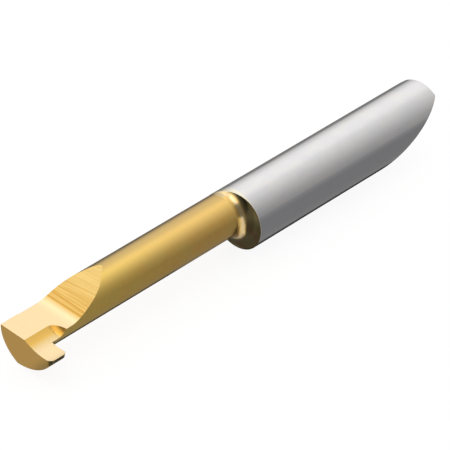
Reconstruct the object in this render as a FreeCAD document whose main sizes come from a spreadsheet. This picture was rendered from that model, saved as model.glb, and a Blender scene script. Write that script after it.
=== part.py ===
import FreeCAD, Part
import math
import os
import Sketcher

from FreeCAD import Placement, Rotation, Vector

# Grooving insert for small bores: a one-piece solid carbide bar, ground from the round.
# The X axis is the shank's axis and points from the shank to the head. Z comes out of the
# rake side, and Y points from the axis to the cutting edge. The origin is on the shank's
# axis, in the plane of the shoulder where the shank steps down to the neck. Sizes are in
# millimetres and degrees.

SIZES = {
    # The clamped end
    "shank_diameter": 6.0,
    "shank_length": 24.8,
    "rear_edge_radius": 0.15,
    "seat_angle": 30.0,
    "end_land": 0.52,
    # The thinner neck, ground off centre, away from the cutting edge
    "neck_diameter": 4.18,
    "neck_length": 23.65,
    "neck_turn": 137.5,
    "neck_set_in": 0.02,
    "root_radius": 1.3,
    # The head, whose corner is the grooving tooth
    "tooth_width": 1.85,
    "tooth_reach": 3.2,
    "land_depth": 0.15,
    "clearance_angle": 6.0,
    "back_corner_radius": 0.42,
    "front_corner_radius": 0.55,
    "underside_radius": 5.2,
    "underside_offset": 1.3,
    "back_radius": 3.3,
    "back_offset": 0.47,
    "back_rise": 0.22,
    # The flat and the ramp above the head
    "flat_height": 0.72,
    "ramp_start": 20.98,
    "ramp_angle": 23.6,
    "ramp_foot_radius": 3.0,
    "ramp_top_drop": 0.14,
    "ramp_top_angle": 8.4,
    "ramp_top_tilt": 7.6,
    # The chip groove, ground into the flat by a round-edged wheel
    "rake_height": 0.05,
    "groove_radius": 4.0,
    "groove_offset": 2.3,
    "groove_start": 21.83,
    "groove_wall": 1.8,
    "groove_corner_radius": 1.2,
    # How far a cutting outline runs past the material that it takes away
    "overrun": 1.0,
}


class Size:
    """A length, angle or ratio: its value, and the formula over the sheet's cells that gives it."""

    def __init__(self, value, formula):
        self.value = value
        self.formula = formula

    def __add__(self, other):
        other = as_size(other)
        return Size(self.value + other.value, f"({self.formula} + {other.formula})")

    def __sub__(self, other):
        other = as_size(other)
        return Size(self.value - other.value, f"({self.formula} - {other.formula})")

    def __mul__(self, other):
        other = as_size(other)
        return Size(self.value * other.value, f"({self.formula} * {other.formula})")

    def __truediv__(self, other):
        other = as_size(other)
        return Size(self.value / other.value, f"({self.formula} / {other.formula})")

    def __neg__(self):
        return Size(-self.value, f"(0 - {self.formula})")


def as_size(thing):
    """Turns a plain number in a formula into a Size."""
    return thing if isinstance(thing, Size) else Size(float(thing), str(thing))


def sine(angle):
    return Size(math.sin(math.radians(angle.value)), f"sin({angle.formula})")


def cosine(angle):
    return Size(math.cos(math.radians(angle.value)), f"cos({angle.formula})")


def tangent(angle):
    return Size(math.tan(math.radians(angle.value)), f"tan({angle.formula})")


def root(size):
    return Size(math.sqrt(size.value), f"sqrt({size.formula})")


def drop(radius, across):
    """How far below an arc's centre the arc lies at a given distance to the side of the centre."""
    return root(radius * radius - across * across)


def write_sheet(doc):
    """Puts the driving sizes in a sheet, one row each, and gives them back by name."""
    sheet = doc.addObject("Spreadsheet::Sheet", "sizes")
    sizes = {}
    for row, (name, value) in enumerate(SIZES.items(), start=1):
        sheet.set(f"A{row}", name.replace("_", " "))
        sheet.set(f"B{row}", str(value))
        sheet.setAlias(f"B{row}", name)
        sizes[name] = Size(value, f"sizes.{name}")
    doc.recompute()
    return sizes


ORIGIN = (-1, 1)
START, END, CENTRE = 1, 2, 3
NONE = as_size(0)


def place_sketch(body, name, plane, level=NONE, aside=NONE, tilt=NONE):
    """Adds an empty sketch on one of the body's own planes.

    It is raised by level, shifted by aside, and turned by tilt about its own horizontal axis.
    """
    features = body.Origin.OriginFeatures
    support = next(item for item in features if item.Role == plane)
    sketch = body.newObject("Sketcher::SketchObject", name)
    sketch.AttachmentSupport = [(support, "")]
    sketch.MapMode = "FlatFace"
    turned = Rotation(Vector(1, 0, 0), tilt.value)
    sketch.AttachmentOffset = Placement(Vector(0, aside.value, level.value), turned)
    sketch.setExpression("AttachmentOffset.Base.y", aside.formula)
    sketch.setExpression("AttachmentOffset.Base.z", level.formula)
    if tilt is not NONE:
        sketch.setExpression("AttachmentOffset.Rotation.Angle", tilt.formula)
    return sketch


def bind(sketch, constraint, size):
    """Adds a dimension and ties it to the sheet."""
    index = sketch.addConstraint(constraint)
    sketch.setExpression(f"Constraints[{index}]", size.formula)


def arc_between(first, last, radius, bulge):
    """The arc from first to last, on the right of the way from one to the other, or on the left."""
    chord = last - first
    side = Vector(chord.y, -chord.x, 0).normalize() * bulge
    sagitta = radius - math.sqrt(radius ** 2 - chord.Length ** 2 / 4)
    middle = (first + last) * 0.5 + side * sagitta
    return Part.Arc(first, middle, last)


RIGHT, LEFT = 1, -1


def closed_outline(sketch, corners, arcs=None):
    """Draws a closed outline through the corners, each of them tied to the sheet in both directions.

    arcs gives, for the number of a side, the radius and the side of the way to which it bulges.
    """
    arcs = arcs or {}
    points = [Vector(x.value, y.value, 0) for x, y in corners]
    count = len(points)
    ends = []
    for number, point in enumerate(points):
        following = points[(number + 1) % count]
        if number in arcs:
            radius, bulge = arcs[number]
            edge = sketch.addGeometry(arc_between(point, following, radius.value, bulge))
            # A sketch keeps its arcs anticlockwise, so one that bulges left runs from its far end
            ends.append((edge, START, END) if bulge == RIGHT else (edge, END, START))
        else:
            edge = sketch.addGeometry(Part.LineSegment(point, following))
            ends.append((edge, START, END))
    for number in range(count):
        edge, _, leaving = ends[number]
        following, entering, _ = ends[(number + 1) % count]
        sketch.addConstraint(Sketcher.Constraint("Coincident", edge, leaving, following, entering))
    for number, (x, y) in enumerate(corners):
        edge, entering, _ = ends[number]
        bind(sketch, Sketcher.Constraint("DistanceX", *ORIGIN, edge, entering, x.value), x)
        bind(sketch, Sketcher.Constraint("DistanceY", *ORIGIN, edge, entering, y.value), y)
    for number, (radius, _) in arcs.items():
        edge = ends[number][0]
        bind(sketch, Sketcher.Constraint("Radius", edge, radius.value), radius)


def ring(sketch, inner, outer):
    """Draws two circles about the sketch's origin."""
    for radius in (inner, outer):
        edge = sketch.addGeometry(Part.Circle(Vector(0, 0, 0), Vector(0, 0, 1), radius.value))
        sketch.addConstraint(Sketcher.Constraint("Coincident", edge, CENTRE, *ORIGIN))
        bind(sketch, Sketcher.Constraint("Radius", edge, radius.value), radius)


def finish_feature(body, feature, adds):
    """Recomputes a feature and makes sure that it added or took away material."""
    before = feature.BaseFeature.Shape.Volume if feature.BaseFeature else 0.0
    body.Document.recompute()
    change = feature.Shape.Volume - before
    if (change > 0) != adds:
        raise RuntimeError(f"{feature.Label} changed the volume by {change:.4f} mm3")
    print(f"{feature.Label}: {change:+.2f} mm3")
    return feature


def turn(body, name, sketch, kind):
    """Revolves a sketch about its own horizontal axis, adding or cutting."""
    feature = body.newObject(f"PartDesign::{kind}", name)
    feature.Profile = sketch
    feature.ReferenceAxis = (sketch, ["H_Axis"])
    feature.Angle = 360
    return finish_feature(body, feature, adds=kind == "Revolution")


def cut_along(body, name, sketch, length, forwards):
    """Cuts a sketch's outline into the body, along or against the sketch's normal."""
    feature = body.newObject("PartDesign::Pocket", name)
    feature.Profile = sketch
    feature.Length = length.value
    feature.setExpression("Length", length.formula)
    feature.Reversed = forwards
    return finish_feature(body, feature, adds=False)


def cut_across(body, name, sketch, length):
    """Cuts a sketch's outline right through the body, both ways from the sketch."""
    feature = body.newObject("PartDesign::Pocket", name)
    feature.Profile = sketch
    feature.Length = length.value
    feature.setExpression("Length", length.formula)
    feature.Midplane = True
    return finish_feature(body, feature, adds=False)


def add_shank(body, s):
    """The round shank, turned about its axis, with a small rounding round its rear end."""
    radius = s["shank_diameter"] / 2
    sketch = place_sketch(body, "shank_profile", "XY_Plane")
    closed_outline(sketch, [
        (-s["shank_length"], NONE),
        (NONE, NONE),
        (NONE, radius),
        (s["rear_edge_radius"] - s["shank_length"], radius),
        (-s["shank_length"], radius - s["rear_edge_radius"]),
    ], arcs={3: (s["rear_edge_radius"], RIGHT)})
    turn(body, "shank", sketch, "Revolution")


def neck_centre(s):
    """How far the neck's axis lies from the shank's: along Y, and along Z."""
    shift = (s["shank_diameter"] - s["neck_diameter"]) / 2 - s["neck_set_in"]
    return shift * cosine(s["neck_turn"]), shift * sine(s["neck_turn"])


def add_neck(body, s):
    """The neck, a thinner round that touches the shank's circle from inside, with its flared root."""
    radius = s["neck_diameter"] / 2
    aside, rise = neck_centre(s)
    sketch = place_sketch(body, "neck_profile", "XY_Plane", level=rise, aside=aside)
    end = s["neck_length"] + s["tooth_width"] / 2
    closed_outline(sketch, [
        (NONE, NONE),
        (end, NONE),
        (end, radius),
        (s["root_radius"], radius),
        (NONE, radius + s["root_radius"]),
    ], arcs={3: (s["root_radius"], LEFT)})
    turn(body, "neck", sketch, "Revolution")

    # The flare stays inside the shank's own circle
    shank_radius = s["shank_diameter"] / 2
    sketch = place_sketch(body, "root_trim_outline", "YZ_Plane")
    ring(sketch, shank_radius, shank_radius + s["root_radius"] * 2)
    cut_along(body, "root_trim", sketch, s["root_radius"], forwards=True)


def corner_edges(shape, s):
    """The two upright edges of the head at the tooth, from the back to the front."""
    found = []
    for number, edge in enumerate(shape.Edges, start=1):
        if len(edge.Vertexes) < 2:
            continue
        low, high = sorted((vertex.Point for vertex in edge.Vertexes), key=lambda point: point.z)
        upright = high.z - low.z > s["flat_height"].value
        at_tooth = min(low.y, high.y) > s["tooth_reach"].value - s["overrun"].value
        past_neck = min(low.x, high.x) > s["neck_length"].value - s["overrun"].value
        if upright and at_tooth and past_neck:
            found.append((low.x, f"Edge{number}"))
    return [name for _, name in sorted(found)]


def add_head(body, s):
    """The head: a block that narrows downwards all round, so that only its cutting edges rub."""
    spread = (s["flat_height"] - s["rake_height"]) * tangent(s["clearance_angle"])
    back = s["neck_length"] - spread
    front = s["neck_length"] + s["tooth_width"] + spread
    far_side = -(s["shank_diameter"] / 2 + s["overrun"])
    tip = s["tooth_reach"] + spread
    sketch = place_sketch(body, "head_plan", "XY_Plane", level=s["flat_height"])
    closed_outline(sketch, [(back, far_side), (front, far_side), (front, tip), (back, tip)])
    head = body.newObject("PartDesign::Pad", "head")
    head.Profile = sketch
    depth = s["flat_height"] + s["shank_diameter"] / 2
    head.Length = depth.value
    head.setExpression("Length", depth.formula)
    head.Reversed = True
    head.TaperAngle = -s["clearance_angle"].value
    head.setExpression("TaperAngle", (-s["clearance_angle"]).formula)
    finish_feature(body, head, adds=True)

    for name, edge in zip(("back_corner", "front_corner"), (0, -1)):
        corner = body.newObject("PartDesign::Fillet", name)
        base = body.Tip if body.Tip != corner else corner.BaseFeature
        corner.Base = (base, [corner_edges(base.Shape, s)[edge]])
        corner.Radius = s[f"{name}_radius"].value
        corner.setExpression("Radius", s[f"{name}_radius"].formula)
        finish_feature(body, corner, adds=False)


def shape_head(body, s):
    """Relieves the head's underside below the tooth, and rounds its back to the shank's circle."""
    start = s["neck_length"] - s["overrun"] / 2
    length = s["tooth_width"] + s["overrun"] * 2
    below = -(s["shank_diameter"] / 2 + s["overrun"])

    # Underside: a wide arc from just below the cutting edge round to the far side
    land_side = s["tooth_reach"] - s["land_depth"] * tangent(s["clearance_angle"])
    land_foot = s["rake_height"] - s["land_depth"]
    centre = -s["underside_offset"]
    height = land_foot + drop(s["underside_radius"], land_side - centre)
    far_side = -(s["shank_diameter"] / 2 + s["overrun"])
    far_foot = height - drop(s["underside_radius"], centre - far_side)
    near_side = s["tooth_reach"] + s["overrun"]
    sketch = place_sketch(body, "underside_outline", "YZ_Plane", level=start)
    closed_outline(sketch, [
        (land_side, land_foot),
        (near_side, land_foot),
        (near_side, below),
        (far_side, below),
        (far_side, far_foot),
    ], arcs={4: (s["underside_radius"], RIGHT)})
    cut_along(body, "underside", sketch, length, forwards=True)

    # Back: a wide arc inside the shank's circle, from below the axis up to the flat
    top = s["flat_height"]
    upper = s["back_offset"] - drop(s["back_radius"], top - s["back_rise"])
    sketch = place_sketch(body, "back_outline", "YZ_Plane", level=start)
    closed_outline(sketch, [
        (upper, top),
        (far_side, top),
        (far_side, below),
        (s["back_offset"], below),
        (s["back_offset"], s["back_rise"] - s["back_radius"]),
    ], arcs={4: (s["back_radius"], LEFT)})
    cut_along(body, "back", sketch, length, forwards=True)


def cut_flat(body, s):
    """The flat on the rake side of the head, and the ramp that runs up from it and out of the neck."""
    top = s["shank_diameter"] / 2 + s["overrun"]
    end = s["neck_length"] + s["tooth_width"] + s["overrun"]
    slope = tangent(s["ramp_angle"])
    reach = s["ramp_foot_radius"] * tangent(s["ramp_angle"] / 2)
    sketch = place_sketch(body, "flat_outline", "XZ_Plane")
    closed_outline(sketch, [
        (s["ramp_start"] - (top - s["flat_height"]) / slope, top),
        (s["ramp_start"] - reach * cosine(s["ramp_angle"]),
         s["flat_height"] + reach * sine(s["ramp_angle"])),
        (s["ramp_start"] + reach, s["flat_height"]),
        (end, s["flat_height"]),
        (end, top),
    ], arcs={1: (s["ramp_foot_radius"], RIGHT)})
    cut_across(body, "rake_flat", sketch, s["shank_diameter"] * 2)

    # The ramp's top: a gentler facet over the neck's crown, which also falls away to the far side
    aside, rise = neck_centre(s)
    crown = rise + s["neck_diameter"] / 2
    foot_height = crown - s["ramp_top_drop"]
    foot = s["ramp_start"] - (foot_height - s["flat_height"]) / slope
    fall = tangent(s["ramp_top_angle"])
    upright = cosine(s["ramp_top_tilt"])
    above_origin = foot_height - aside * tangent(s["ramp_top_tilt"])
    sketch = place_sketch(body, "ramp_top_outline", "XZ_Plane", tilt=s["ramp_top_tilt"])
    closed_outline(sketch, [
        (foot - (top - above_origin) / fall, top * upright),
        (s["ramp_start"], (above_origin - (s["ramp_start"] - foot) * fall) * upright),
        (s["ramp_start"], top * upright),
    ])
    cut_across(body, "ramp_top", sketch, s["shank_diameter"] * 2)


def cut_chip_groove(body, s):
    """The chip groove: a wheel on an axis along the bar, with a rounded rim, run in from the front."""
    level = s["rake_height"] + s["groove_radius"]
    rim = s["groove_radius"]
    inner = rim - s["groove_wall"]
    end = s["neck_length"] + s["tooth_width"] + s["overrun"]
    sketch = place_sketch(body, "groove_profile", "XY_Plane", level=level, aside=s["groove_offset"])
    closed_outline(sketch, [
        (s["groove_start"], inner),
        (end, inner),
        (end, rim),
        (s["groove_start"] + s["groove_corner_radius"], rim),
        (s["groove_start"], rim - s["groove_corner_radius"]),
    ], arcs={3: (s["groove_corner_radius"], RIGHT)})
    turn(body, "chip_groove", sketch, "Groove")


def cut_seat(body, s):
    """The slanted seat under the shank's rear end, which leaves a narrow land of the end face."""
    radius = s["shank_diameter"] / 2
    slope = tangent(s["seat_angle"])
    edge_height = radius - s["end_land"]
    rear = -(s["shank_length"] + s["overrun"])
    below = -(radius + s["overrun"])
    sketch = place_sketch(body, "seat_outline", "XZ_Plane")
    closed_outline(sketch, [
        (rear, edge_height + s["overrun"] * slope),
        ((edge_height - below) / slope - s["shank_length"], below),
        (rear, below),
    ])
    cut_across(body, "seat", sketch, s["shank_diameter"] * 2)


def build_insert(doc, s):
    """Builds the insert the way it is ground: round blank, neck, head, flat, chip groove, seat."""
    body = doc.addObject("PartDesign::Body", "grooving_insert")
    body.Label = "grooving_insert"
    for step in (add_shank, add_neck, add_head, shape_head, cut_flat, cut_chip_groove, cut_seat):
        step(body, s)
    return body


def check(doc, bodies):
    """Stops before anything is written if a feature failed or a solid isn't sound."""
    for item in doc.Objects:
        if "Invalid" in item.State or "Error" in item.State:
            raise RuntimeError(f"{item.Label} is {item.State}")
    for body in bodies:
        if body.Shape.isNull() or not body.Shape.isValid() or len(body.Shape.Solids) != 1:
            raise RuntimeError(f"{body.Label} isn't one sound solid")


document = FreeCAD.newDocument("grooving_insert")
pieces = [build_insert(document, write_sheet(document))]
document.recompute()
check(document, pieces)
os.makedirs("parts", exist_ok=True)
for piece in pieces:
    piece.Shape.exportStep(f"parts/{piece.Label}.step")
    print(f"{piece.Label}: {piece.Shape.Volume:.1f} mm3")
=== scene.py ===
import math

import bpy
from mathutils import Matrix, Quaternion, Vector


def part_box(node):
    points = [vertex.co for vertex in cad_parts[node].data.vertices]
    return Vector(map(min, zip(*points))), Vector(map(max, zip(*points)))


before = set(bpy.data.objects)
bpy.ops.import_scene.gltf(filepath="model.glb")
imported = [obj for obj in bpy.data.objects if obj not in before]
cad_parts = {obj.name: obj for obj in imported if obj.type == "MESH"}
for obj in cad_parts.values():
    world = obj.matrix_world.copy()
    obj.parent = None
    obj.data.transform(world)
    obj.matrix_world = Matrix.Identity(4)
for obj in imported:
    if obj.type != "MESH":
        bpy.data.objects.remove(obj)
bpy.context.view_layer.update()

# The place of the shot: a long lens a quarter of a metre away, beside the head and well above it,
# looking down on the rake side. It is rolled a little, and the bar runs from the upper right to
# the lower left of the square picture.

SHOT_FROM = Vector((0.152415, 0.135939, 0.15326))
SHOT_AT = Vector((0.000915, -0.000451, -0.00046))
SHOT_ROLL = math.radians(2.8)
LENS_MM = 232
SENSOR_MM = 36

camera_data = bpy.data.cameras.new("camera")
camera_data.lens = LENS_MM
camera_data.sensor_width = SENSOR_MM
camera = bpy.data.objects.new("camera", camera_data)
camera.location = SHOT_FROM
camera.rotation_mode = "QUATERNION"
level_shot = (SHOT_FROM - SHOT_AT).to_track_quat("Z", "Y")
camera.rotation_quaternion = level_shot @ Quaternion((0, 0, 1), SHOT_ROLL)
bpy.context.scene.collection.objects.link(camera)
bpy.context.scene.camera = camera
bpy.context.scene.view_settings.view_transform = "Standard"

# The studio's light: a large soft box behind the bar, a smaller box and a card over it, and a lamp
# beyond the head, in a grey room that is darker beside the lens, past the head and low at the back.
# Pale sheets of card lie under the bar. All of it is the world's own light, by direction.

# A _FROM is a direction. A pair such as an _EDGE is where a patch starts and where it is full.
LIGHT_COLOUR = (1.0, 0.99, 0.98, 1)
SOFT_BOX_FROM = (-0.593, -0.46, 0.66)
ROOM_LIGHT = ((0.0, 0.28), (0.36, 0.46), (0.63, 0.66), (0.88, 0.92), (1.0, 1.2))
TOP_BOX_FROM = (0.305, 0.102, 0.947)
TOP_BOX_EDGE = (0.86, 0.97)
TOP_BOX_LIGHT = 0.9
TOP_CARD_FROM = (0.05, -0.60, 0.80)
TOP_CARD_EDGE = (0.90, 0.99)
TOP_CARD_LIGHT = 0.27
HEAD_END_EDGE = (0.35, 1.0)
HEAD_END_SHADE = 0.92
LENS_SIDE_EDGE = (0.35, 0.70)
LENS_SIDE_AHEAD = (-0.50, -0.25)
LENS_SIDE_SHADE = 0.48
BACK_WALL_EDGE = (-0.4, -0.7)
BACK_WALL_TOP = (0.32, 0.05)
BACK_WALL_SHADE = 0.16
HEAD_LAMP_FROM = (0.62, -0.75, 0.22)
HEAD_LAMP_EDGE = (0.72, 0.95)
HEAD_LAMP_LIGHT = 0.75
HORIZON_EDGE = (-0.10, 0.05)
REAR_CARD_EDGE = (-0.3, 0.1)
REAR_CARD_LIGHT = (0.22, 0.255)
CONTACT_FROM = (-0.593, -0.34, -0.73)
CONTACT_EDGE = (0.94, 0.98)
CONTACT_SHADE = 1.0
WHITE_CARD_AHEAD = (-0.50, -0.35)
WHITE_CARD_EDGE = (-0.55, 0.0)
WHITE_CARD_LIGHT = (0.35, 0.74)
HEAD_CARD_AHEAD = (0.10, 0.30)
HEAD_CARD_EDGE = (-0.4, 0.1)
HEAD_CARD_LIGHT = (0.42, 0.17)
BACKDROP_LIGHT = 0.97


class Nodes:
    """Builds the node tree of a world or a material: each call adds to it and gives an output."""

    def __init__(self, owner):
        owner.use_nodes = True
        self.tree = owner.node_tree
        self.tree.nodes.clear()

    def add(self, kind, inputs=None, output=0, **settings):
        """A node of that kind. inputs gives a value or another node's output by socket."""
        node = self.tree.nodes.new(kind)
        for name, value in settings.items():
            setattr(node, name, value)
        for name, value in (inputs or {}).items():
            self.feed(node.inputs[name], value)
        return node.outputs[output] if len(node.outputs) else node

    def feed(self, socket, value):
        """Links another node's output to the socket, or sets its value."""
        if isinstance(value, bpy.types.NodeSocket):
            self.tree.links.new(value, socket)
        elif value is not None:
            socket.default_value = value

    def math(self, operation, first, second=None, third=None, clamp=False):
        """One sum on numbers."""
        inputs = {0: first, 1: second, 2: third}
        return self.add("ShaderNodeMath", inputs, operation=operation, use_clamp=clamp)

    def stretched(self, vector, factors):
        """The vector with each of its parts multiplied by its own factor."""
        return self.add("ShaderNodeVectorMath", {0: vector, 1: factors}, operation="MULTIPLY")

    def scaled(self, vector, factor):
        """The vector or colour multiplied by one number."""
        return self.add("ShaderNodeVectorMath", {0: vector, "Scale": factor}, operation="SCALE")

    def dot(self, first, second):
        """How far two directions agree: 1 for the same, 0 for a right angle, -1 for opposite."""
        return self.add("ShaderNodeVectorMath", {0: first, 1: second}, "Value", operation="DOT_PRODUCT")

    def split(self, vector):
        """The vector's parts along X, Y and Z."""
        return [self.add("ShaderNodeSeparateXYZ", {0: vector}, axis) for axis in range(3)]

    def joined(self, x, y, z):
        """A vector from its three parts."""
        return self.add("ShaderNodeCombineXYZ", {0: x, 1: y, 2: z})

    def rise(self, value, low, high):
        """0 at low and 1 at high, with a smooth step between them and no change beyond them."""
        inputs = {"Value": value, "From Min": low, "From Max": high}
        return self.add("ShaderNodeMapRange", inputs, interpolation_type="SMOOTHSTEP")

    def hump(self, value, low, full, end, high):
        """0 below low and above high, 1 from full to end."""
        return self.all_of(self.rise(value, low, full), self.rise(value, high, end))

    def all_of(self, *masks):
        """The masks and shares multiplied: 1 only where each of them is 1."""
        product = masks[0]
        for mask in masks[1:]:
            product = self.math("MULTIPLY", product, mask)
        return product

    def any_of(self, first, second):
        """The higher of two masks: 1 where either is 1."""
        return self.math("MAXIMUM", first, second)

    def outside(self, mask):
        """1 where the mask is 0, and 0 where it is 1."""
        return self.math("SUBTRACT", 1.0, mask)

    def mix(self, factor, first, second):
        """A colour between first at factor 0 and second at factor 1."""
        inputs = {"Factor": factor, 6: first, 7: second}
        return self.add("ShaderNodeMix", inputs, 2, data_type="RGBA")

    def blend(self, factor, first, second):
        """A number between first at factor 0 and second at factor 1."""
        return self.add("ShaderNodeMix", {"Factor": factor, 2: first, 3: second}, data_type="FLOAT")

    def lit(self, light, mask, amount):
        """The light with this much more of it where the mask is 1."""
        return self.math("MULTIPLY_ADD", mask, amount, light)

    def shaded(self, light, mask, amount):
        """The light less this share of it where the mask is 1."""
        return self.math("MULTIPLY", light, self.math("MULTIPLY_ADD", mask, -amount, 1.0))

    def curve(self, value, stops):
        """A number along a smooth curve led by the stops, each a place from 0 to 1 and a height."""
        highest = max(height for _, height in stops)
        node = self.tree.nodes.new("ShaderNodeValToRGB")
        ramp = node.color_ramp
        ramp.interpolation = "B_SPLINE"
        ramp.elements.remove(ramp.elements[1])
        for number, (place, height) in enumerate(stops):
            stop = ramp.elements[0] if number == 0 else ramp.elements.new(place)
            stop.position = place
            stop.color = (height / highest,) * 3 + (1,)
        self.feed(node.inputs[0], value)
        return self.math("MULTIPLY", node.outputs[0], highest)


world = bpy.data.worlds.new("studio")
bpy.context.scene.world = world
sky = Nodes(world)
towards = sky.add("ShaderNodeTexCoord", output="Generated")
ahead, aside, above = sky.split(towards)


def patch(direction, edge):
    """A round patch of the sky about that direction, with its soft edge between two cosines."""
    return sky.rise(sky.dot(towards, direction), *edge)


room = sky.curve(sky.dot(towards, SOFT_BOX_FROM), ROOM_LIGHT)
room = sky.lit(room, patch(TOP_BOX_FROM, TOP_BOX_EDGE), TOP_BOX_LIGHT)
room = sky.lit(room, patch(TOP_CARD_FROM, TOP_CARD_EDGE), TOP_CARD_LIGHT)
room = sky.shaded(room, sky.rise(ahead, *HEAD_END_EDGE), HEAD_END_SHADE)
lens_side = sky.all_of(sky.rise(aside, *LENS_SIDE_EDGE), sky.rise(ahead, *LENS_SIDE_AHEAD))
room = sky.shaded(room, lens_side, LENS_SIDE_SHADE)
back_wall = sky.all_of(sky.rise(aside, *BACK_WALL_EDGE), sky.rise(above, *BACK_WALL_TOP))
room = sky.shaded(room, back_wall, BACK_WALL_SHADE)
room = sky.lit(room, patch(HEAD_LAMP_FROM, HEAD_LAMP_EDGE), HEAD_LAMP_LIGHT)

rear_card = sky.blend(sky.rise(aside, *REAR_CARD_EDGE), *REAR_CARD_LIGHT)
rear_card = sky.shaded(rear_card, patch(CONTACT_FROM, CONTACT_EDGE), CONTACT_SHADE)
white_card = sky.blend(sky.rise(aside, *WHITE_CARD_EDGE), *WHITE_CARD_LIGHT)
head_card = sky.blend(sky.rise(aside, *HEAD_CARD_EDGE), *HEAD_CARD_LIGHT)
cards = sky.blend(sky.rise(ahead, *WHITE_CARD_AHEAD), rear_card, white_card)
cards = sky.blend(sky.rise(ahead, *HEAD_CARD_AHEAD), cards, head_card)

room = sky.blend(sky.rise(above, *HORIZON_EDGE), cards, room)
seen = sky.add("ShaderNodeLightPath", output="Is Camera Ray")
strength = sky.blend(seen, room, BACKDROP_LIGHT)
shown = sky.add("ShaderNodeBackground", {"Color": LIGHT_COLOUR, "Strength": strength})
sky.add("ShaderNodeOutputWorld", {"Surface": shown})

# The floor: a plain pale sheet under the bar, almost white to the lens. Polished metal mirrors the
# cards under it instead, but for a painted shadow under the neck's root, which the root mirrors.

FLOOR_HALF_WIDTH = 6.0
FLOOR_WHITE = (0.16, 0.16, 0.16, 1)
FLOOR_GLOW = 0.90
SHADOW_LIGHT = 0.20
SHADOW_SKEW = -0.13
SHADOW_LENGTH = (0.00008, 0.00028, 0.0050, 0.0080)
SHADOW_WIDTH = (-0.0030, -0.0015, 0.0010, 0.0020)

floor_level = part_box("grooving_insert")[0][2]
signs = ((-1, -1), (1, -1), (1, 1), (-1, 1))
corners = [(sx * FLOOR_HALF_WIDTH, sy * FLOOR_HALF_WIDTH, floor_level) for sx, sy in signs]
floor_mesh = bpy.data.meshes.new("floor")
floor_mesh.from_pydata(corners, [], [(0, 1, 2, 3)])
floor = bpy.data.objects.new("floor", floor_mesh)
bpy.context.scene.collection.objects.link(floor)

floor_material = bpy.data.materials.new("pale_floor")
paper = Nodes(floor_material)
white = paper.add("ShaderNodeBsdfDiffuse", {"Color": FLOOR_WHITE})
glow = paper.add("ShaderNodeEmission", {"Strength": FLOOR_GLOW})
pale = paper.add("ShaderNodeAddShader", {0: white, 1: glow})
along, across, _ = paper.split(paper.add("ShaderNodeTexCoord", output="Object"))
along = paper.math("MULTIPLY_ADD", across, SHADOW_SKEW, along)
shadow = paper.all_of(paper.hump(along, *SHADOW_LENGTH), paper.hump(across, *SHADOW_WIDTH))
# A painted shadow: a dim glowing patch that the root mirrors
dark = paper.add("ShaderNodeEmission", {"Strength": SHADOW_LIGHT})
clear = paper.add("ShaderNodeBsdfTransparent")
mirrored = paper.add("ShaderNodeMixShader", {0: shadow, 1: clear, 2: dark})
seen = paper.add("ShaderNodeLightPath", output="Is Camera Ray")
sheet = paper.add("ShaderNodeMixShader", {0: seen, 1: mirrored, 2: pale})
paper.add("ShaderNodeOutputMaterial", {"Surface": sheet})
floor_mesh.materials.append(floor_material)

# The insert: one bar of cemented carbide, ground all over. The neck and the head carry a gold
# hard coating a few thousandths of a millimetre thick. The shank sits in a mask while it's
# coated, so it stays bare grey, and the coating ends in a thin line at the shoulder's rim.

MM_IN_METRE = 1000.0

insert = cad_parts["grooving_insert"]
metal = bpy.data.materials.new("ground_carbide")
skin = Nodes(metal)
place = skin.scaled(skin.add("ShaderNodeTexCoord", output="Object"), MM_IN_METRE)
normal = skin.add("ShaderNodeTexCoord", output="Normal")
x, y, z = skin.split(place)
ahead, aside, up = skin.split(normal)
radius = skin.add("ShaderNodeVectorMath", {0: skin.joined(0.0, y, z)}, "Value", operation="LENGTH")


def mottle(stretch, detail=3.0, roughness=0.6, vector=place):
    """Noise from 0 to 1 over the surface, with this many patches a millimetre along X, Y and Z."""
    inputs = {"Vector": skin.stretched(vector, stretch), "Scale": 1.0}
    inputs.update({"Detail": detail, "Roughness": roughness})
    return skin.add("ShaderNodeTexNoise", inputs)


def centred(noise, amount):
    """The noise about 0, from -amount to amount."""
    return skin.math("MULTIPLY", skin.math("MULTIPLY_ADD", noise, 2.0, -1.0), amount)


# Where each surface lies, each a mask from 0 to 1. A limit in X is a place along the bar in
# millimetres. The other limits are shares of the surface's direction: ahead, aside or up.
COAT_END_X = (-0.025, -0.012)
COAT_RAGGED = 0.010
COAT_PATCHES = (2.0, 5.0, 5.0)
HEAD_X = (20.3, 20.6)
RAKE_UP = (0.90, 0.985)
SLOPE_UP = (0.88, 0.90)
SLOPE_AHEAD = (0.10, 0.14)
SLOPE_X = (15.4, 15.5)
GROOVE_UP = (0.45, 0.60)
NECK_AHEAD = 0.08
ROOT_X = (1.35, 1.25)
ROOT_LOW_UP = (-0.2, -0.5)
ROOT_LOW_TURN = -0.25
ROOT_TURN = (0.20, 0.34, 0.50, 0.60)
SHOULDER_TURN = (0.55, 0.66)
ENDS_AHEAD = (0.93, 0.97)
FRONT_AHEAD = (0.0, 0.5)
FLANK_UP = (0.60, 0.40)
FLANK_X = (23.3, 23.5)
TOOTH_ASIDE = (0.2, 0.5)

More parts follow.
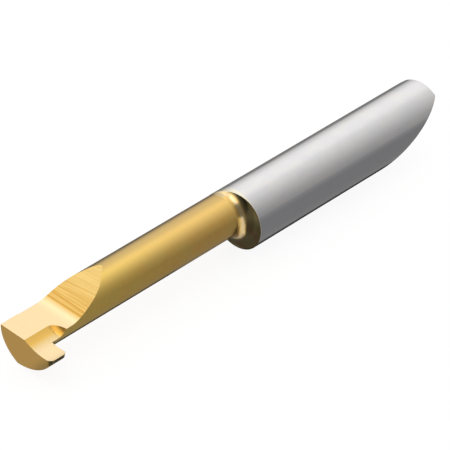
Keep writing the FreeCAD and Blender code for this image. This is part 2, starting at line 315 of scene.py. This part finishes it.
coat_end = skin.math("ADD", x, centred(mottle(COAT_PATCHES), COAT_RAGGED))
coated = skin.rise(coat_end, *COAT_END_X)
on_head = skin.rise(x, *HEAD_X)
off_head = skin.outside(on_head)
rake = skin.all_of(skin.rise(up, *RAKE_UP), on_head)
slope = skin.all_of(skin.rise(up, *SLOPE_UP), skin.rise(ahead, *SLOPE_AHEAD))
ramp_on_neck = skin.all_of(slope, skin.rise(x, *SLOPE_X), off_head)
ramp_foot = skin.all_of(slope, on_head, skin.outside(rake))
ramp = skin.math("ADD", ramp_on_neck, ramp_foot, clamp=True)
groove = skin.all_of(skin.rise(up, *GROOVE_UP), on_head, skin.outside(skin.any_of(rake, ramp)))
steepness = skin.math("ABSOLUTE", ahead)
neck = skin.all_of(skin.math("LESS_THAN", steepness, NECK_AHEAD), coated, off_head)
at_root = skin.all_of(skin.rise(x, *ROOT_X), coated)
root_turn = skin.math("MULTIPLY_ADD", skin.rise(up, *ROOT_LOW_UP), ROOT_LOW_TURN, ahead)
root_curve = skin.all_of(at_root, skin.hump(root_turn, *ROOT_TURN))
shoulder = skin.all_of(at_root, skin.rise(root_turn, *SHOULDER_TURN))
ends = skin.rise(steepness, *ENDS_AHEAD)
front = skin.all_of(ends, skin.rise(ahead, *FRONT_AHEAD), on_head)
upright = skin.rise(skin.math("ABSOLUTE", up), *FLANK_UP)
flank = skin.all_of(upright, skin.rise(x, *FLANK_X), skin.outside(front))
tooth_side = skin.all_of(flank, skin.rise(aside, *TOOTH_ASIDE))

# Grinding marks: rings round the bar, circles on the shoulder, lines that lean a little across
# the ramp and lie straight on the rake faces, and level lines on the front, the flanks and the
# rear end
COARSE_RINGS = (7.0, 0.5, 0.5)
FINE_RINGS = (24.0, 0.9, 0.9)
RING_SHARE = 0.5
LEAN_X = (20.2, 18.2)
LEAN = (0.0, 0.11)
LINES = (5.0, 0.09, 0.0)
LEVEL_LINES = (0.4, 0.4, 11.0)
CIRCLES = (12.0, 0.0, 0.0)

fine_rings = skin.math("MULTIPLY", mottle(FINE_RINGS, detail=2.0), RING_SHARE)
rings = skin.math("MULTIPLY_ADD", mottle(COARSE_RINGS), RING_SHARE, fine_rings)
lean = skin.blend(skin.rise(x, *LEAN_X), *LEAN)
leaning = skin.joined(skin.math("MULTIPLY_ADD", y, lean, x), y, 0.0)
lines = mottle(LINES, roughness=0.7, vector=leaning)
level_lines = mottle(LEVEL_LINES, detail=4.0, roughness=0.7)
circles = mottle(CIRCLES, roughness=0.7, vector=skin.joined(radius, 0.0, 0.0))
marks = skin.blend(skin.any_of(ramp, rake), rings, lines)
marks = skin.blend(skin.any_of(ends, flank), marks, level_lines)
marks = skin.blend(shoulder, marks, circles)

# The coating on the neck: mottled gold, a painted highlight in paler gold on top, purer towards
# the head, and painted shade in duller gold on the upper side away from the lens
GOLD = (0.92, 0.595, 0.165, 1)
GOLD_GREEN = (0.86, 0.600, 0.180, 1)
GOLD_WARM = (0.93, 0.555, 0.150, 1)
GOLD_PAINTED_HIGHLIGHT = (0.93, 0.620, 0.195, 1)
GOLD_BY_HEAD = (1.0, 0.72, 0.16, 1)
GOLD_PAINTED_SHADE = (0.53, 0.37, 0.145, 1)
PATCHES = (0.45, 0.8, 0.8)
GREEN_PATCHES = (0.40, 0.66)
SPOTS = (2.4, 2.4, 2.4)
GOLD_SPOTS = (0.35, 0.7)
TOP_HIGHLIGHT_FROM = (0.0, 0.25, 0.97)
TOP_HIGHLIGHT_EDGE = (0.78, 0.98)
BY_HEAD_X = (4.0, 21.0)
BY_HEAD_SHARE = 0.55
FAR_SIDE_FROM = (0.0, -0.6, 0.8)
FAR_SIDE_EDGE = (0.5, 0.85)
FAR_SIDE_SHARE = 0.8

patches = mottle(PATCHES)
spots = mottle(SPOTS, detail=4.0)
gold = skin.mix(skin.rise(patches, *GREEN_PATCHES), GOLD_WARM, GOLD_GREEN)
gold = skin.mix(skin.rise(spots, *GOLD_SPOTS), gold, GOLD)
# Painted highlight: paler gold where the neck faces up
gold = skin.mix(skin.rise(skin.dot(normal, TOP_HIGHLIGHT_FROM), *TOP_HIGHLIGHT_EDGE), gold, GOLD_PAINTED_HIGHLIGHT)
gold = skin.mix(skin.all_of(skin.rise(x, *BY_HEAD_X), BY_HEAD_SHARE), gold, GOLD_BY_HEAD)
# Painted shade: duller gold on the neck's upper side away from the lens
far_side = skin.rise(skin.dot(normal, FAR_SIDE_FROM), *FAR_SIDE_EDGE)
gold = skin.mix(skin.all_of(far_side, neck, FAR_SIDE_SHARE), gold, GOLD_PAINTED_SHADE)

# The coating on the head: amber grinding lines, most of them low on the ramp, painted shade in a
# deeper gold at the groove's end, a rake face painted pale as a highlight, painted shade on the
# front towards the tooth, and painted shade on the tooth's side
RAMP_LOW = (0.86, 0.56, 0.165, 1)
RAMP_HIGH = (0.89, 0.64, 0.23, 1)
RAMP_AMBER = (0.74, 0.41, 0.085, 1)
RAMP_X = (20.9, 16.6)
AMBER_LINES = (0.58, 0.42)
AMBER_X = (18.0, 19.8)
AMBER_SHARE = (0.35, 1.0)
GROOVE_GOLD = (1.0, 0.620, 0.150, 1)
GROOVE_END_SHADE = (0.80, 0.425, 0.075, 1)
GROOVE_END_SHADE_X = (23.0, 22.6)
PALE_HIGHLIGHT_GOLD = (0.90, 0.70, 0.40, 1)
PALE_HIGHLIGHT_LEMON = (0.95, 0.79, 0.46, 1)
LEMON_X = (20.4, 20.6, 20.9, 21.9)
FRONT_GOLD = (0.95, 0.565, 0.135, 1)
FRONT_SHADE = (0.52, 0.34, 0.09, 1)
FRONT_SLANT = -0.8
FRONT_SHADE_Y = (1.8, 3.5)
FLANK_SHADE = (0.30, 0.235, 0.08, 1)
TOOTH_SHADE = (0.13, 0.105, 0.042, 1)
TOOTH_SHADE_ASIDE = (0.5, 0.85)

ramp_gold = skin.mix(skin.rise(x, *RAMP_X), RAMP_LOW, RAMP_HIGH)
amber = skin.all_of(skin.rise(lines, *AMBER_LINES), skin.blend(skin.rise(x, *AMBER_X), *AMBER_SHARE))
gold = skin.mix(ramp, gold, skin.mix(amber, ramp_gold, RAMP_AMBER))
# Painted shade: a deeper gold towards the groove's closed end
groove_gold = skin.mix(skin.rise(x, *GROOVE_END_SHADE_X), GROOVE_GOLD, GROOVE_END_SHADE)
gold = skin.mix(groove, gold, groove_gold)
# Painted highlight: the rake face in pale gold and lemon
gold = skin.mix(rake, gold, skin.mix(skin.hump(x, *LEMON_X), PALE_HIGHLIGHT_GOLD, PALE_HIGHLIGHT_LEMON))
# Painted shade: the front darker towards the tooth
front_shade_mask = skin.rise(skin.math("MULTIPLY_ADD", z, FRONT_SLANT, y), *FRONT_SHADE_Y)
gold = skin.mix(front, gold, skin.mix(front_shade_mask, FRONT_GOLD, FRONT_SHADE))
# Painted shade: the tooth's side in dark olive
tooth_shade_gold = skin.mix(skin.rise(aside, *TOOTH_SHADE_ASIDE), FLANK_SHADE, TOOTH_SHADE)
gold = skin.mix(tooth_side, gold, tooth_shade_gold)

# The coating on the root and the shoulder: a duller gold on the root's side away from the lens, a
# painted highlight along the root's pale curve, painted shade over an olive and brown shoulder,
# painted lighter on top and almost black with painted shade at its lowest rim, and a pale line
# where root and shank meet
ROOT_FAR = (0.62, 0.50, 0.29, 1)
ROOT_FAR_ASIDE = (0.2, -0.1)
ROOT_PAINTED_HIGHLIGHT = (0.94, 0.71, 0.375, 1)
SHOULDER_SHADE_OLIVE = (0.25, 0.205, 0.09, 1)
SHOULDER_SHADE_BROWN = (0.26, 0.165, 0.075, 1)
SHOULDER_PAINTED_LIGHT = (0.46, 0.37, 0.17, 1)
SHOULDER_PATCHES = (0.9, 0.9, 0.9)
BROWN_PATCHES = (0.42, 0.58)
SHOULDER_PAINTED_LIGHT_Z = (0.3, 1.5)
RIM_SHADE = (0.08, 0.06, 0.03, 1)
RIM_SHADE_RADIUS = (2.86, 2.94)
RIM_SHADE_Z = (-0.8, -1.6)
ROOT_RIM = (0.84, 0.80, 0.66, 1)
ROOT_RIM_RADIUS = (2.975, 2.992)
ROOT_RIM_AHEAD = (0.3, 0.1)

gold = skin.mix(skin.all_of(at_root, skin.rise(aside, *ROOT_FAR_ASIDE)), gold, ROOT_FAR)
# Painted highlight: the root's curve in pale gold
gold = skin.mix(root_curve, gold, ROOT_PAINTED_HIGHLIGHT)
# Painted shade: the shoulder in dark olive and brown in mottled patches, painted lighter towards its
# top
brown = skin.rise(mottle(SHOULDER_PATCHES, detail=2.0), *BROWN_PATCHES)
shoulder_shade_gold = skin.mix(brown, SHOULDER_SHADE_OLIVE, SHOULDER_SHADE_BROWN)
shoulder_shade_gold = skin.mix(skin.rise(z, *SHOULDER_PAINTED_LIGHT_Z), shoulder_shade_gold, SHOULDER_PAINTED_LIGHT)
gold = skin.mix(shoulder, gold, shoulder_shade_gold)
# Painted shade: almost black at the shoulder's lowest rim
rim_shade_mask = skin.all_of(shoulder, skin.rise(radius, *RIM_SHADE_RADIUS), skin.rise(z, *RIM_SHADE_Z))
gold = skin.mix(rim_shade_mask, gold, RIM_SHADE)
root_rim = skin.all_of(at_root, skin.rise(radius, *ROOT_RIM_RADIUS), skin.rise(ahead, *ROOT_RIM_AHEAD))
gold = skin.mix(root_rim, gold, ROOT_RIM)

# The bare shank: two greys in soft patches, painted shade in a darker, cooler grey low on the
# lens's side, and a pale rim where the coating ends
BARE = (0.74, 0.727, 0.715, 1)
BARE_COOL = (0.70, 0.70, 0.725, 1)
BARE_LOW_SHADE = (0.62, 0.625, 0.65, 1)
BARE_RIM = (0.86, 0.84, 0.74, 1)
COOL_PATCHES = (0.35, 0.65)
COOL_SHARE = 0.8
LOW_BAND_FROM = (0.0, 0.485, -0.875)
LOW_BAND_EDGE = (-0.025, 0.035)
LOW_BAND_UP = (-0.45, -0.05)
BARE_RIM_X = (-0.08, -0.04, 0.0, 0.1)
MARK_SHADE = (0.06, 0.12)

cool = skin.all_of(skin.rise(patches, *COOL_PATCHES), COOL_SHARE)
bare = skin.mix(cool, BARE, BARE_COOL)
# Painted shade: a darker, cooler grey with a crisp edge low on the lens's side
low_shade_band = skin.rise(skin.dot(normal, LOW_BAND_FROM), *LOW_BAND_EDGE)
bare = skin.mix(skin.all_of(low_shade_band, skin.rise(up, *LOW_BAND_UP)), bare, BARE_LOW_SHADE)
bare = skin.mix(skin.hump(x, *BARE_RIM_X), bare, BARE_RIM)
colour = skin.mix(coated, bare, gold)
shade = skin.math("ADD", 1.0, centred(marks, skin.blend(ramp, *MARK_SHADE)))
colour = skin.scaled(colour, shade)

# Edges: rounded by the last polish, and lighter in patches, partly where the coating is thin and partly
# as painted glints
EDGE_RADIUS = 0.00004
EDGE_SAMPLES = 4
EDGE_TURN = (0.01, 0.12)
GLINT_AND_WEAR_SHARE = 0.15
GLINT_AND_WEAR_BY_SPOT = 0.5
GLINT_AND_WORN_GOLD = (0.98, 0.84, 0.55, 1)
GLINT_AND_WORN_BARE = (0.88, 0.88, 0.87, 1)

rounded = skin.add("ShaderNodeBevel", {"Radius": EDGE_RADIUS}, samples=EDGE_SAMPLES)
flat_normal = skin.add("ShaderNodeNewGeometry", output="Normal")
turned = skin.outside(skin.dot(rounded, flat_normal))
# Partly wear, partly painted glints: the edges lighter in mottled patches
wear_and_glint = skin.math("MULTIPLY_ADD", spots, GLINT_AND_WEAR_BY_SPOT, GLINT_AND_WEAR_SHARE)
worn_and_glint = skin.all_of(skin.rise(turned, *EDGE_TURN), wear_and_glint)
colour = skin.mix(worn_and_glint, colour, skin.mix(coated, GLINT_AND_WORN_BARE, GLINT_AND_WORN_GOLD))

# Gloss and bumps
BARE_ROUGHNESS = 0.16
GOLD_ROUGHNESS = 0.20
GROOVE_ROUGHNESS = 0.30
RAKE_ROUGHNESS = 0.22
ROUGHER_BY_SPOT = 0.05
ROUGHER_BY_MARK = 0.04
MARK_DEPTH = 0.00002
MARK_STRENGTH = 0.25

rough = skin.blend(coated, BARE_ROUGHNESS, GOLD_ROUGHNESS)
rough = skin.blend(rake, rough, RAKE_ROUGHNESS)
rough = skin.blend(skin.any_of(groove, flank), rough, GROOVE_ROUGHNESS)
rough = skin.math("ADD", rough, centred(spots, ROUGHER_BY_SPOT))
rough = skin.math("ADD", rough, centred(marks, ROUGHER_BY_MARK))
bump = skin.add("ShaderNodeBump", {
    "Strength": MARK_STRENGTH,
    "Distance": MARK_DEPTH,
    "Height": marks,
    "Normal": rounded,
})
surface = skin.add("ShaderNodeBsdfPrincipled", {
    "Base Color": colour,
    "Metallic": 1.0,
    "Roughness": rough,
    "Normal": bump,
})
skin.add("ShaderNodeOutputMaterial", {"Surface": surface})
insert.data.materials.clear()
insert.data.materials.append(metal)
